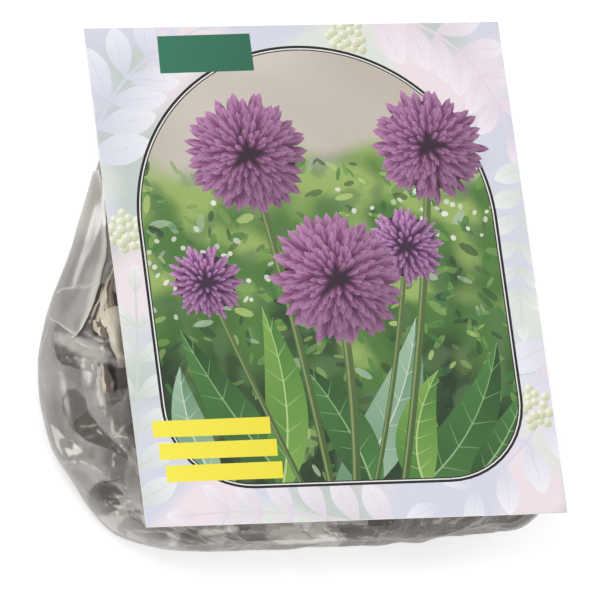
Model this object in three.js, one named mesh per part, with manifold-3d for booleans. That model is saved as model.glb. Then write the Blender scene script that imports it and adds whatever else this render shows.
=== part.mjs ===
// A retail pack of flower bulbs, lying on its back: a flat printed card on top, glued to a sealed bag of
// clear film that holds five bulbs. Millimetres, +Z up. X runs across the card and Y from the bulb end of
// the pack to its head. The bag's flat underside rests on Z = 0.
import * as THREE from 'three';
import { mergeVertices } from 'three/addons/utils/BufferGeometryUtils.js';
import Module from 'manifold-3d';

// Driving dimensions.
const CARD_WIDTH = 160;
const CARD_LENGTH = 191;
const CARD_THICKNESS = 0.6;
const CARD_RISE = 48; // height of the card's underside at the bulb end
const CARD_SLOPE = THREE.MathUtils.degToRad(4); // the head lies lower than the bulb end

const GAP = 0.3; // between pieces that touch on the real pack
const GLUE_THICKNESS = 0.4;
const GLUE_SIZE = { length: 116, width: 12 };
const GLUE_PLACES = { lower_glue_strip: 30, upper_glue_strip: 152 }; // lower edge, up the card

const FILM = 0.5; // the real film is about 0.05 thick: this wall stands in for it
const BAG_START = -1.5; // the bag begins just past the card's lower edge
const BAG_NOSE = 17; // length of the rounded bulb end
const BAG_SIDE = 17; // how far the rounded sides reach in
const BAG_LIFT = 93; // past here the back of the bag rises to the head
const SEAL_START = 174;
const SEAL_END = 184;
const SEAL_THICKNESS = 1.4;
const HOLLOW_END = 168;
const NOSE_STEPS = 6;
const SIDE_STEPS = 8; // facets round each rounded side

// Half outlines of the bag from above, as [Y, X]: the side that shows and the side behind the card.
const LEFT_OUTLINE = [[-1.5, 24], [1, 7], [8, -7], [20, -17], [38, -23.5], [56, -25.5], [72, -24.5],
  [88, -19], [104, -12], [118, -6.5], [131, -1.5], [152, 6], [184, 14]];
const RIGHT_OUTLINE = [[-1.5, 145], [1, 152], [8, 159], [20, 163.5], [38, 166], [60, 166.5], [76, 165.5],
  [100, 162], [131, 155], [152, 150], [184, 146]];

const VENT = { radius: 3, sides: 16, depth: 12 };
const VENT_ROWS = [118, 142];
const VENT_COLUMNS = [45, 80, 115];

// Each bulb: diameter, the middle of its body from above, and which way its neck points.
const BULBS = [
  { diameter: 39, x: 0.4, y: 74.8, neck: [-0.1, 0.8, 0.45] },
  { diameter: 39, x: 1, y: 34.9, neck: [-0.3, -0.35, 0.9] },
  { diameter: 39, x: 38, y: 20.8, neck: [0.35, 0.9, -0.1] },
  { diameter: 43, x: 98.5, y: 23.5, neck: [-0.5, 0.8, 0.15] },
  { diameter: 41.5, x: 141, y: 25.5, neck: [0.1, 0.95, 0.3] },
];
// A bulb's half section for a diameter of 1, from the basal plate to the tip of the neck, as
// [radius, height].
const BULB_SECTION = [[0.13, -0.435], [0.27, -0.4], [0.43, -0.25], [0.5, -0.02], [0.46, 0.17], [0.33, 0.33],
  [0.17, 0.43], [0.1, 0.51], [0.075, 0.58]];
const BULB_SIDES = 20;
const BULB_STEPS = 13;

const FINISHES = {
  card: { color: 0xdcdde4, roughness: 0.3 },
  glue: { color: 0xd8d4c4, roughness: 0.5 },
  film: { color: 0xa9a5a0, roughness: 0.2 },
  bulb: { color: 0x6b5f54, roughness: 0.8 },
};

const wasm = await Module();
wasm.setup();

// Height of the card's underside at Y.
function cardUnderside(y) {
  return CARD_RISE - y * Math.tan(CARD_SLOPE);
}

// Height of the bag's upper film at Y: flat, and parallel to the card.
function bagTop(y) {
  return cardUnderside(y) - GLUE_THICKNESS - 2 * GAP;
}

// Height of the bag's back at Y: on the ground under the bulbs, then straight up to the seal.
function bagBack(y) {
  const lift = THREE.MathUtils.clamp((y - BAG_LIFT) / (SEAL_START - BAG_LIFT), 0, 1);
  return y > SEAL_START ? bagTop(y) - SEAL_THICKNESS : lift * (bagTop(SEAL_START) - SEAL_THICKNESS);
}

// Value at Y of an outline given as [Y, X] points.
function along(outline, y) {
  const next = Math.max(1, outline.findIndex((point) => point[0] >= y - 1e-9));
  const [y0, x0] = outline[next - 1];
  const [y1, x1] = outline[next];
  return x0 + ((x1 - x0) * (y - y0)) / (y1 - y0);
}

function toSolid(geometry) {
  const bare = geometry.clone();
  bare.deleteAttribute('normal');
  bare.deleteAttribute('uv');
  const merged = mergeVertices(bare, 1e-4);
  return new wasm.Manifold(new wasm.Mesh({
    numProp: 3,
    vertProperties: new Float32Array(merged.attributes.position.array),
    triVerts: new Uint32Array(merged.index.array),
  }));
}

function toGeometry(solid) {
  const mesh = solid.getMesh();
  const geometry = new THREE.BufferGeometry();
  geometry.setAttribute('position', new THREE.BufferAttribute(mesh.vertProperties, 3));
  geometry.setIndex(new THREE.BufferAttribute(mesh.triVerts, 1));
  geometry.computeVertexNormals();
  return geometry;
}

// A closed skin through rings of equal length, capped at both ends.
function loft(rings) {
  const count = rings[0].length;
  const positions = rings.flat(2);
  const index = [];
  for (let r = 0; r < rings.length - 1; r += 1) {
    for (let i = 0; i < count; i += 1) {
      const a = r * count + i;
      const b = r * count + ((i + 1) % count);
      index.push(a, a + count, b, b, a + count, b + count);
    }
  }
  const last = (rings.length - 1) * count;
  for (let i = 1; i < count - 1; i += 1) {
    index.push(0, i, i + 1);
    index.push(last, last + i + 1, last + i);
  }
  const geometry = new THREE.BufferGeometry();
  geometry.setAttribute('position', new THREE.Float32BufferAttribute(positions, 3));
  geometry.setIndex(index);
  return geometry;
}

// The places along Y where the bag's section is given. The rounded nose is cut at equal angles.
function bagStations(inset) {
  const nose = [];
  for (let step = 1; step <= NOSE_STEPS; step += 1) {
    const angle = (step / NOSE_STEPS) * (Math.PI / 2);
    nose.push({ y: BAG_START + inset + (BAG_NOSE - inset) * (1 - Math.cos(angle)), share: Math.sin(angle) });
  }
  const ends = inset > 0 ? [HOLLOW_END] : [SEAL_START, SEAL_END];
  const body = LEFT_OUTLINE.map((point) => point[0]);
  const between = body.filter((y) => y > BAG_START + BAG_NOSE && y < ends[0]);
  const rest = [...between, BAG_LIFT, ...ends].sort((a, b) => a - b);
  return [...nose, ...rest.map((y) => ({ y, share: 1 }))];
}

// One section across the bag: flat below and above, with half ellipses at the sides. An inset section
// keeps the wall's thickness where the outline runs steeply.
function bagSection({ y, share }, inset) {
  const near = [y - inset, y, y + inset];
  const left = Math.max(...near.map((place) => along(LEFT_OUTLINE, place))) + inset;
  const right = Math.min(...near.map((place) => along(RIGHT_OUTLINE, place))) - inset;
  const middle = (bagTop(y) + bagBack(y)) / 2;
  const half = ((bagTop(y) - bagBack(y)) / 2 - inset) * share;
  const ring = [];
  for (let step = 0; step <= SIDE_STEPS; step += 1) {
    const angle = -Math.PI / 2 + (step / SIDE_STEPS) * Math.PI;
    ring.push([right - BAG_SIDE * (1 - Math.cos(angle)), y, middle + half * Math.sin(angle)]);
  }
  for (let step = 0; step <= SIDE_STEPS; step += 1) {
    const angle = Math.PI / 2 - (step / SIDE_STEPS) * Math.PI;
    ring.push([left + BAG_SIDE * (1 - Math.cos(angle)), y, middle + half * Math.sin(angle)]);
  }
  return ring;
}

// The film bag: a thin wall all round its hollow, flat at the head where it is welded, with round vents
// punched through its back.
function filmBag() {
  const outer = toSolid(loft(bagStations(0).map((station) => bagSection(station, 0))));
  const hollow = toSolid(loft(bagStations(FILM).map((station) => bagSection(station, FILM))));
  let bag = outer.subtract(hollow);
  for (const y of VENT_ROWS) {
    for (const x of VENT_COLUMNS) {
      const punch = new THREE.CylinderGeometry(VENT.radius, VENT.radius, VENT.depth, VENT.sides);
      punch.rotateX(Math.PI / 2);
      punch.translate(x, y, bagBack(y));
      bag = bag.subtract(toSolid(punch));
    }
  }
  return toGeometry(bag);
}

// One bulb, turned to its neck's direction and let down until it lies on the film.
function bulb({ diameter, x, y, neck }) {
  const section = BULB_SECTION.map(([radius, height]) => new THREE.Vector2(radius, height));
  const points = new THREE.SplineCurve(section).getSpacedPoints(BULB_STEPS);
  const profile = [new THREE.Vector2(0, points[0].y), ...points, new THREE.Vector2(0, points.at(-1).y)];
  const geometry = new THREE.LatheGeometry(profile, BULB_SIDES);
  geometry.scale(diameter, diameter, diameter);
  const direction = new THREE.Vector3(...neck).normalize();
  geometry.applyQuaternion(new THREE.Quaternion().setFromUnitVectors(new THREE.Vector3(0, 1, 0), direction));
  geometry.computeBoundingBox();
  geometry.translate(x, y, FILM + GAP - geometry.boundingBox.min.z);
  return geometry;
}

// A flat slab parallel to the card: its lower edge is a distance up the card, its underside a distance
// below the card's underside.
function slab(length, width, thickness, upCard, below) {
  const geometry = new THREE.BoxGeometry(length, width, thickness);
  geometry.translate(CARD_WIDTH / 2, upCard + width / 2, thickness / 2 - below);
  geometry.rotateX(-CARD_SLOPE);
  geometry.translate(0, 0, CARD_RISE);
  return geometry;
}

const pack = new THREE.Group();

function addPiece(name, geometry, finish) {
  const mesh = new THREE.Mesh(geometry, new THREE.MeshStandardMaterial({ ...finish, metalness: 0 }));
  mesh.name = name;
  pack.add(mesh);
}

addPiece('printed_card', slab(CARD_WIDTH, CARD_LENGTH, CARD_THICKNESS, 0, 0), FINISHES.card);
for (const [name, place] of Object.entries(GLUE_PLACES)) {
  const strip = slab(GLUE_SIZE.length, GLUE_SIZE.width, GLUE_THICKNESS, place, GAP + GLUE_THICKNESS);
  addPiece(name, strip, FINISHES.glue);
}
addPiece('film_bag', filmBag(), FINISHES.film);
BULBS.forEach((values, i) => addPiece(`bulb_${i + 1}`, bulb(values), FINISHES.bulb));

// The origin is the middle of the pack's box, on the surface that it lies on.
const box = new THREE.Box3().setFromObject(pack);
const centre = box.getCenter(new THREE.Vector3());
pack.position.set(-centre.x, -centre.y, -box.min.z);

export default pack;
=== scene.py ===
# A retail pack of flower bulbs, lying on its back: a printed card glued to a sealed film bag of bulbs.
# The CAD frame gives every piece its place, and each section below makes and finishes one piece.
import math

import bpy
import numpy as np
from mathutils import Matrix, Vector
from mathutils.bvhtree import BVHTree
from mathutils.geometry import delaunay_2d_cdt
from mathutils.kdtree import KDTree


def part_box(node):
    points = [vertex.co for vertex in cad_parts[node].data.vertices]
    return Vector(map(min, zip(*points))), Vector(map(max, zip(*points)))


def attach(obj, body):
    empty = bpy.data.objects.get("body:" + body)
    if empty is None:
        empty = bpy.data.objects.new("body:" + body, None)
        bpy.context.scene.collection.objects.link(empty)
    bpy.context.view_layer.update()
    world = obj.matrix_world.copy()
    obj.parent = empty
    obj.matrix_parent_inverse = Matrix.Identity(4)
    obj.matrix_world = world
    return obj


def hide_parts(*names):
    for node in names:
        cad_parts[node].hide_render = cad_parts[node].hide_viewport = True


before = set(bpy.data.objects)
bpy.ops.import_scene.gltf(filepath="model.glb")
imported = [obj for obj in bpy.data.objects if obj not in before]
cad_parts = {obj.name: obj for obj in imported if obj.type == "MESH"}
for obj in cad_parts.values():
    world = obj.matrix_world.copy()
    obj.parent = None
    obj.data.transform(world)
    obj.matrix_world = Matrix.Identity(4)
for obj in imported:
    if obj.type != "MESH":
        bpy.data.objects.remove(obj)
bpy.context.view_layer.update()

MM = 0.001


# ---- Camera -------------------------------------------------------------------------------------------
# The photograph looks down on the card from beyond its lower left corner, through a long lens, and is
# turned about the line of sight until the card stands nearly upright in the picture.
CAMERA_AIM = (-1.2 * MM, -10.4 * MM, 41.6 * MM)
CAMERA_DISTANCE = 3.296
CAMERA_ELEVATION = math.radians(66.79)
CAMERA_AZIMUTH = math.radians(-51.64)  # from -Y towards -X
CAMERA_ROLL = math.radians(47.75)
CAMERA_LENS = 544.5  # millimetres, on a 36 mm frame

camera_data = bpy.data.cameras.new("camera")
camera_data.lens = CAMERA_LENS
camera_data.clip_end = 50
camera = bpy.data.objects.new("camera", camera_data)
bpy.context.collection.objects.link(camera)
turn = (Matrix.Rotation(CAMERA_AZIMUTH, 4, "Z")
        @ Matrix.Rotation(math.pi / 2 - CAMERA_ELEVATION, 4, "X")
        @ Matrix.Rotation(CAMERA_ROLL, 4, "Z"))
camera.matrix_world = (Matrix.Translation(CAMERA_AIM) @ turn
                       @ Matrix.Translation((0, 0, CAMERA_DISTANCE)))
bpy.context.scene.camera = camera


# ---- Printed card -------------------------------------------------------------------------------------
# A sheet of white carton, 0.6 mm thick, cut square. Its front is printed in four colours and varnished,
# and its back is bare. The picture is cut as a mosaic: every ink edge is an edge of the flat front face.
GOLDEN_ANGLE = math.pi * (3 - math.sqrt(5))

card_low, card_high = (np.array(corner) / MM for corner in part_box("printed_card"))
CARD_SLOPE = math.radians(4)
CARD_THICKNESS = 0.6
CARD_WIDTH = card_high[0] - card_low[0]
CARD_LENGTH = ((card_high[1] - card_low[1]) - CARD_THICKNESS * math.sin(CARD_SLOPE)) / math.cos(CARD_SLOPE)
card_corner = Vector((card_low[0], card_low[1], card_high[2] - CARD_THICKNESS * math.cos(CARD_SLOPE)))
card_place = Matrix.Translation(card_corner * MM) @ Matrix.Rotation(-CARD_SLOPE, 4, "X")


def linear(colour):
    """An sRGB hex colour as linear red, green and blue."""
    parts = [int(colour[i:i + 2], 16) / 255 for i in (1, 3, 5)]
    return tuple(p / 12.92 if p <= 0.04045 else ((p + 0.055) / 1.055) ** 2.4 for p in parts)


def mixed(first, second, share):
    """Two linear colours, or arrays of them, mixed by a share for each point."""
    share = np.clip(np.asarray(share, float), 0, 1)[..., None]
    return np.asarray(first) * (1 - share) + np.asarray(second) * share


def step(value, low, high):
    """0 below low, 1 above high and a smooth rise between."""
    t = np.clip((value - low) / (high - low), 0, 1)
    return t * t * (3 - 2 * t)


BLOTCH_WAVES = 7


def blotches(x, y, size, seed):
    """Soft random light and dark, from -1 to 1, with patches about size millimetres across."""
    draw = np.random.default_rng(seed)
    total = 0
    for _ in range(BLOTCH_WAVES):
        heading, start = draw.uniform(0, 2 * math.pi, 2)
        wave = 2 * size * draw.uniform(0.6, 1.6)
        total = total + np.cos((x * math.cos(heading) + y * math.sin(heading)) * 2 * math.pi / wave + start)
    return total / (BLOTCH_WAVES / 2)


shapes = []  # laid one over another: (outline, paint, place), place being card, window or over


def lay(outline, paint, place="card"):
    """Adds one inked shape. Its outline is made to run anticlockwise, and paint gives colour and cover."""
    outline = np.asarray(outline, float)
    x, y = outline.T
    if np.sum(x * np.roll(y, -1) - y * np.roll(x, -1)) < 0:
        outline = outline[::-1]
    shapes.append((outline, paint, place))


def flat_ink(tone, cover):
    """One linear colour all over."""
    return lambda x, y: (np.tile(tone, (len(x), 1)), np.full(len(x), cover))


def plain(colour, cover=1.0):
    """One hex colour all over."""
    return flat_ink(linear(colour), cover)


def fading(first, second, start, end, cover=1.0):
    """One ink at start that turns into another at end."""
    start, way = np.array(start, float), np.subtract(end, start)
    first, second = linear(first), linear(second)

    def paint(x, y):
        share = ((x - start[0]) * way[0] + (y - start[1]) * way[1]) / (way @ way)
        return mixed(first, second, share), np.full(len(x), cover)

    return paint


def ellipse(centre, length, width, heading, points=10):
    """An oval outline."""
    turn = np.linspace(0, 2 * math.pi, points, endpoint=False)
    along, across = np.cos(turn) * length / 2, np.sin(turn) * width / 2
    c, s = math.cos(heading), math.sin(heading)
    return np.stack([centre[0] + along * c - across * s, centre[1] + along * s + across * c], 1)


def ways_of(path):
    """Which way a path runs at each of its points, and the way to its left there, one millimetre long."""
    way = np.gradient(path, axis=0)
    return way, np.stack([-way[:, 1], way[:, 0]], 1) / np.linalg.norm(way, axis=1)[:, None]


def ribbon(path, widths):
    """The outline of a strip that follows a path, with a width at each of its points."""
    path, widths = np.asarray(path, float), np.asarray(widths, float)[:, None]
    _, side = ways_of(path)
    return np.concatenate([path + side * widths / 2, (path - side * widths / 2)[::-1]])


def bent(start, middle, end, points=12):
    """Points along a curve that leaves start and reaches end, pulled towards middle."""
    t = np.linspace(0, 1, points)[:, None]
    return (1 - t) ** 2 * np.array(start) + 2 * t * (1 - t) * np.array(middle) + t * t * np.array(end)


def arch(left, right, low, high, corner, grow=0.0):
    """The window: a half round head over straight sides, with rounded lower corners."""
    left, right, low, high = left - grow, right + grow, low - grow, high + grow
    corner = corner + grow
    radius = (right - left) / 2
    head = np.linspace(0, math.pi, 72)
    foot = np.linspace(0, math.pi / 2, 14)
    middle = (left + right) / 2
    top = np.stack([middle + radius * np.cos(head), high - radius + radius * np.sin(head)], 1)
    lower_left = np.stack([left + corner - corner * np.cos(foot), low + corner - corner * np.sin(foot)], 1)
    lower_right = np.stack([right - corner + corner * np.sin(foot), low + corner - corner * np.cos(foot)], 1)
    return np.concatenate([top, lower_left, lower_right])


# Border: pale lavender, mint and pink, with sprays of paler leaves and bunches of cream berries.
LAVENDER, MINT, BLUSH, PALE_GREEN = "#dbdce9", "#c8d1ca", "#f4e6ea", "#e4eadf"


def border(x, y):
    """The border's ground: four pale inks that run into one another."""
    tone = mixed(linear(LAVENDER), linear(MINT), step(blotches(x, y, 34, 3), -0.1, 0.5))
    tone = mixed(tone, linear(BLUSH), step(blotches(x, y, 40, 8), 0.1, 0.6))
    return mixed(tone, linear(PALE_GREEN), step(blotches(x, y, 36, 21), 0.35, 0.8)), np.ones(len(x))


lay([(0, 0), (CARD_WIDTH, 0), (CARD_WIDTH, CARD_LENGTH), (0, CARD_LENGTH)], border)


def petal(base, heading, length, width, blunt, points=7):
    """A petal's outline: narrow at its base, widest past its middle, blunt (1) or pointed (0) at the tip."""
    t = np.linspace(0, 1, points)
    spread = np.sin(math.pi * t ** (1.0 + 0.55 * blunt)) ** (0.85 - 0.3 * blunt)
    path = np.array(base) + np.outer(t * length, (math.cos(heading), math.sin(heading)))
    side = np.array((-math.sin(heading), math.cos(heading)))
    edge = np.outer(spread * width / 2, side)
    return np.concatenate([path + edge, (path - edge)[-2:0:-1]])


SPRAY_LEAVES = 7


def spray(start, middle, end, reach, base_tone, tip_tone):
    """An arching twig with broad leaves in pairs, smaller towards its end, and one leaf at its tip."""
    path = bent(start, middle, end, SPRAY_LEAVES)
    way, _ = ways_of(path)
    lay(ribbon(path, np.linspace(1.6, 0.6, SPRAY_LEAVES)), plain(base_tone, 0.9))
    for index in range(SPRAY_LEAVES):
        heading = math.atan2(way[index][1], way[index][0])
        size = reach * (1 - 0.07 * index)
        for lean in ((-0.9, 0.9) if index < SPRAY_LEAVES - 1 else (0,)):
            out = np.array((math.cos(heading + lean), math.sin(heading + lean)))
            tip = path[index] + size * out
            lay(petal(path[index], heading + lean, size, size * 0.46, 0.35, 14),
                fading(base_tone, tip_tone, path[index], tip, 0.84))
            midrib = [path[index], (path[index] + tip) / 2, path[index] + 0.9 * size * out]
            lay(ribbon(midrib, [0.6, 0.4, 0.1]), plain(base_tone, 0.8))


# Each spray: where it starts, where it bends, where it ends, the length of its leaves and its two tones.
SPRAYS = [
    ((166, 66), (158, 20), (112, 5), 26, "#dcdcea", "#fbfafd"),
    ((-4, 8), (4, 50), (7, 88), 20, "#d3dbd2", "#f5f8f3"),
    ((-5, 140), (8, 178), (44, 190), 26, "#d9dbea", "#f8f7fc"),
    ((112, 196), (152, 188), (158, 146), 23, "#ecdbe4", "#fbf4f8"),
    ((166, 134), (153, 104), (153, 76), 17, "#d9e0d6", "#f6f8f1"),
    ((92, -5), (56, 7), (20, 4), 21, "#e7dae4", "#faf4f9"),
]
for start, middle, end, reach, base_tone, tip_tone in SPRAYS:
    spray(start, middle, end, reach, base_tone, tip_tone)


BERRY_COUNT = 19
BUNCH_RADIUS = 7.5


def berries(centre, seed):
    """A bunch of round cream berries, each with a shaded side and a light spot."""
    draw = np.random.default_rng(seed)
    for number in range(BERRY_COUNT, 0, -1):
        heading = number * GOLDEN_ANGLE
        out = BUNCH_RADIUS * math.sqrt(number / BERRY_COUNT)
        way = np.array((math.cos(heading), math.sin(heading)))
        spot = np.array(centre) + out * way + draw.uniform(-0.4, 0.4, 2)
        size = draw.uniform(3.2, 4.2)
        rounded = fading("#b9bd8e", "#f6f6df", spot + (1.6, -1.8), spot + (-1.0, 1.2))
        lay(ellipse(spot, size, size, 0, 16), rounded)
        lay(ellipse(spot + (-0.5, 0.6), 1.1, 0.8, 0.6, 7), plain("#fffff6", 0.9))


for centre, seed in (((152, 40), 5), ((6, 112), 6), ((100, 186), 9)):
    berries(centre, seed)


def petal_ink(base, way, length, tones, shade):
    """A petal's colours from its base to its tip, all of them as light as shade says."""
    dark, middle, pale = tones

    def paint(x, y):
        share = ((x - base[0]) * way[0] + (y - base[1]) * way[1]) / length
        tone = mixed(mixed(dark, middle, step(share, 0.05, 0.6)), pale, step(share, 0.55, 1.05))
        return tone * shade, np.ones(len(x))

    return paint


LIGHT_HEADING = 2.3  # radians: the printed flowers are lit from their upper left


def blossom(centre, radius, count, tones, seed):
    """A full round blossom seen from in front: pointed petals in a spiral, the outer ones laid first."""
    draw = np.random.default_rng(seed)
    lay(ellipse(centre, radius * 1.5, radius * 1.5, 0, 28), plain(tones[0]), "over")
    tones = [np.array(linear(tone)) for tone in tones]
    for number in range(count, 0, -1):
        out = math.sqrt(number / count)
        heading = number * GOLDEN_ANGLE + draw.uniform(-0.12, 0.12)
        way = np.array((math.cos(heading), math.sin(heading)))
        base = np.array(centre) + way * radius * out * 0.52
        length = radius * (0.17 + 0.31 * out) * draw.uniform(0.9, 1.08)
        width = radius * (0.085 + 0.062 * out) * draw.uniform(0.85, 1.15)
        shade = 0.86 + 0.26 * out * math.cos(heading - LIGHT_HEADING) + draw.uniform(-0.1, 0.1)
        lay(petal(base, heading, length, width, 0.45), petal_ink(base, way, length, tones, shade), "over")
        rib = petal(base + way * length * 0.3, heading, length * 0.6, width * 0.3, 0, 4)
        lay(rib, flat_ink(tones[2] * shade, 0.55), "over")


# Window: a black ring with a white keyline round a garden picture.
WINDOW = {"left": 13, "right": 147, "low": 15, "high": 181, "corner": 30}
for reach, tone in ((1.9, "#14110f"), (0.9, "#f6f4ef"), (0.45, "#231f1a")):
    lay(arch(**WINDOW, grow=reach), plain(tone))


def garden(x, y):
    """The picture's ground, out of focus: dark growth below, sunlit green above it, then a pale wall."""
    rise = (y - WINDOW["low"]) / (WINDOW["high"] - WINDOW["low"])
    tone = mixed(linear("#1f3a1d"), linear("#4f7a35"), step(rise + 0.22 * blotches(x, y, 17, 31), 0.05, 0.5))
    tone = mixed(tone, linear("#9bb565"), step(rise + 0.3 * blotches(x, y, 13, 37), 0.42, 0.8))
    tone = mixed(tone, linear("#5b7a4c"), step(blotches(x, y, 9, 41), 0.2, 0.7) * 0.6)
    wall = mixed(linear("#c4b9ab"), linear("#d8d0c6"), 0.5 + 0.5 * blotches(x, y, 30, 43))
    return mixed(tone, wall, step(rise + 0.1 * blotches(x, y, 20, 47), 0.7, 0.82)), np.ones(len(x))


lay(arch(**WINDOW), garden, "window")

# Growth behind the flowers: leaf dabs of all greens up to where the wall shows, and white florets among them.
DAB_COUNT, DAB_TOP = 560, 140
DAB_TONES = {"#2c4a2a": 0.22, "#3f7a3a": 0.2, "#6f9a48": 0.18, "#86a85c": 0.16, "#a9c19f": 0.08,
             "#b9cf7a": 0.08, "#1d331b": 0.08}  # and the share of each
FLORET_COUNT = 90

draw = np.random.default_rng(11)
for _ in range(DAB_COUNT):
    spot = draw.uniform((WINDOW["left"], WINDOW["low"]), (WINDOW["right"], DAB_TOP))
    tone = draw.choice(list(DAB_TONES), p=list(DAB_TONES.values()))
    length = draw.uniform(3, 8.5)
    lay(ellipse(spot, length, length * draw.uniform(0.25, 0.5), draw.uniform(0, math.pi), 8),
        plain(tone, draw.uniform(0.35, 0.8)), "window")
for _ in range(FLORET_COUNT):
    spot = draw.normal((124, 118), (20, 9)) if draw.random() < 0.5 else draw.normal((36, 98), (15, 9))
    lay(ellipse(spot, draw.uniform(1.4, 3.4), draw.uniform(1.2, 2.4), draw.uniform(0, math.pi), 7),
        plain("#eef0e2", draw.uniform(0.45, 0.9)), "window")


LEAF_POINTS = 16


def leaf(base, middle, tip, width, tones):
    """A broad leaf: a dark half, a light half, a pale midrib and side veins."""
    dark, pale, vein_tone = tones
    path = bent(base, middle, tip, LEAF_POINTS)
    t = np.linspace(0, 1, LEAF_POINTS)
    spread = width * np.sin(math.pi * t ** 0.8) ** 0.9
    way, side = ways_of(path)
    for sign, first, second in ((1, dark, pale), (-1, pale, dark)):
        edge = path + sign * side * spread[:, None] / 2
        lay(np.concatenate([path, edge[-2:0:-1]]), fading(first, second, base, tip), "window")
    lay(ribbon(path, 0.9 - 0.7 * t), plain(vein_tone, 0.85), "window")
    for index in range(3, LEAF_POINTS - 2, 2):
        for sign in (1, -1):
            reach = side[index] * sign * spread[index] * 0.42 + way[index] * 1.1
            vein = bent(path[index], path[index] + reach * 0.5, path[index] + reach, 3)
            lay(ribbon(vein, [0.45, 0.3, 0.08]), plain(vein_tone, 0.5), "window")


DEEP_LEAF = ("#22481f", "#4d8440", "#9cbf83")
GREY_LEAF = ("#5f8a66", "#a5c3a4", "#d5e2cc")
FRESH_LEAF = ("#3f7a2f", "#83ad4f", "#c3d892")
leaf((60, 8), (36, 40), (22, 74), 17, DEEP_LEAF)
leaf((70, 6), (104, 34), (112, 76), 19, GREY_LEAF)
leaf((92, 4), (130, 22), (142, 66), 20, DEEP_LEAF)
leaf((52, 10), (64, 46), (54, 82), 16, FRESH_LEAF)
leaf((88, 8), (84, 36), (66, 60), 17, DEEP_LEAF)
leaf((30, 12), (18, 34), (20, 60), 14, GREY_LEAF)
leaf((108, 10), (100, 30), (118, 56), 16, FRESH_LEAF)
leaf((124, 12), (142, 26), (150, 48), 13, DEEP_LEAF)

# Flowers: stems first, then the farthest blossom, and the nearest one last. Two reach over the ring.
PURPLE_TONES = ("#32182c", "#7d3f6f", "#c08bb2")
VIOLET_TONES = ("#3a1f3a", "#8a4a86", "#cfa0c8")
FLOWERS = [  # centre, radius, petals and tones, then the stem's bend, foot and thickness
    ((112, 104), 16, 110, VIOLET_TONES, (104, 60), (88, 12), 2.0),
    ((34, 92), 15, 100, VIOLET_TONES, (44, 60), (62, 10), 2.0),
    ((56, 141), 24.5, 190, PURPLE_TONES, (66, 84), (72, 8), 2.9),
    ((126, 143), 23, 180, PURPLE_TONES, (118, 84), (98, 8), 2.9),
    ((84, 92), 26.5, 210, PURPLE_TONES, (86, 48), (80, 6), 3.3),
]
for centre, _, _, _, middle, foot, thick in FLOWERS:
    stem = bent(centre, middle, foot, 16)
    lay(ribbon(stem, np.full(16, thick)), fading("#5f7440", "#46602f", centre, foot), "window")
    lay(ribbon(stem + (-thick * 0.2, 0), np.full(16, thick * 0.28)), plain("#93a765", 0.7), "window")
for number, (centre, radius, count, tones, _, _, _) in enumerate(FLOWERS):
    blossom(centre, radius, count, tones, 60 + number)

# Labels, bare: a green tag at the top and three yellow strips near the foot.
TAG = [(27.5, 187.5), (63, 188), (63, 173.5), (27, 173)]
YELLOW_STRIPS = [(33.5, 7, 51.5), (25, 8.5, 53), (16.5, 10, 54)]  # the lower edge, left and right of each
lay(TAG, fading("#2f7a5c", "#256a4e", (27, 188), (63, 173)), "over")
for low, left, right in YELLOW_STRIPS:
    strip = [(left, low + 6.2), (right, low + 6.6), (right - 0.3, low + 0.2), (left - 0.2, low)]
    lay(strip, fading("#fdf04a", "#f7e63c", (left, low), (right, low)), "over")

# The mosaic: the outlines and a fine grid of points are joined into triangles, which then take the inks
# of the shapes that cover them, in the order in which these were laid.
GRID = 1.3  # millimetres between the points of the grid
across, up = (np.arange(GRID / 2, size, GRID) for size in (CARD_WIDTH, CARD_LENGTH))
grid = np.stack(np.meshgrid(across, up), 2).reshape(-1, 2)
points = np.concatenate([outline for outline, _, _ in shapes] + [grid])
starts = np.cumsum([0] + [len(outline) for outline, _, _ in shapes])
outlines = [list(range(a, b)) for a, b in zip(starts, starts[1:])]
spots, _, triangles, _, _, covers = delaunay_2d_cdt([Vector(p) for p in points], [], outlines, 0, 1e-4, True)
spots = np.array([tuple(spot) for spot in spots])
inside = [i for i, cover in enumerate(covers) if 0 in cover]
triangles = np.array([triangles[i] for i in inside])
covers = [covers[i] for i in inside]
shape_of = np.concatenate([np.array(cover) for cover in covers])
face_of = np.repeat(np.arange(len(covers)), [len(cover) for cover in covers])
order = np.argsort(shape_of, kind="stable")
shape_of, face_of = shape_of[order], face_of[order]
window_shape = next(i for i, (_, _, place) in enumerate(shapes) if place == "window")
in_window = np.zeros(len(triangles), bool)
in_window[face_of[shape_of == window_shape]] = True
inks = np.zeros((len(triangles), 3, 3))
ends = np.searchsorted(shape_of, np.arange(len(shapes) + 1))
for number, (_, paint, place) in enumerate(shapes):
    faces = face_of[ends[number]:ends[number + 1]]
    if place == "window":
        faces = faces[in_window[faces]]
    if len(faces):
        corners = spots[triangles[faces]].reshape(-1, 2)
        tone, cover = paint(corners[:, 0], corners[:, 1])
        tone, cover = tone.reshape(-1, 3, 3), np.reshape(cover, (-1, 3, 1))
        inks[faces] = inks[faces] * (1 - cover) + np.clip(tone, 0, 1) * cover

used, places = np.unique(triangles, return_inverse=True)
heights = np.full(len(used), CARD_THICKNESS)
mesh = bpy.data.meshes.new("printed_card")
mesh.from_pydata(np.column_stack([spots[used], heights]) * MM, [], places.reshape(-1, 3).tolist())
ink = mesh.color_attributes.new("ink", "FLOAT_COLOR", "CORNER")
ink.data.foreach_set("color", np.insert(inks.reshape(-1, 3), 3, 1.0, axis=1).ravel())
card = bpy.data.objects.new("printed_card_board", mesh)
bpy.context.collection.objects.link(card)


def take_alone(piece):
    """Selects one piece and nothing else."""
    bpy.ops.object.select_all(action="DESELECT")
    bpy.context.view_layer.objects.active = piece
    piece.select_set(True)


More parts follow.
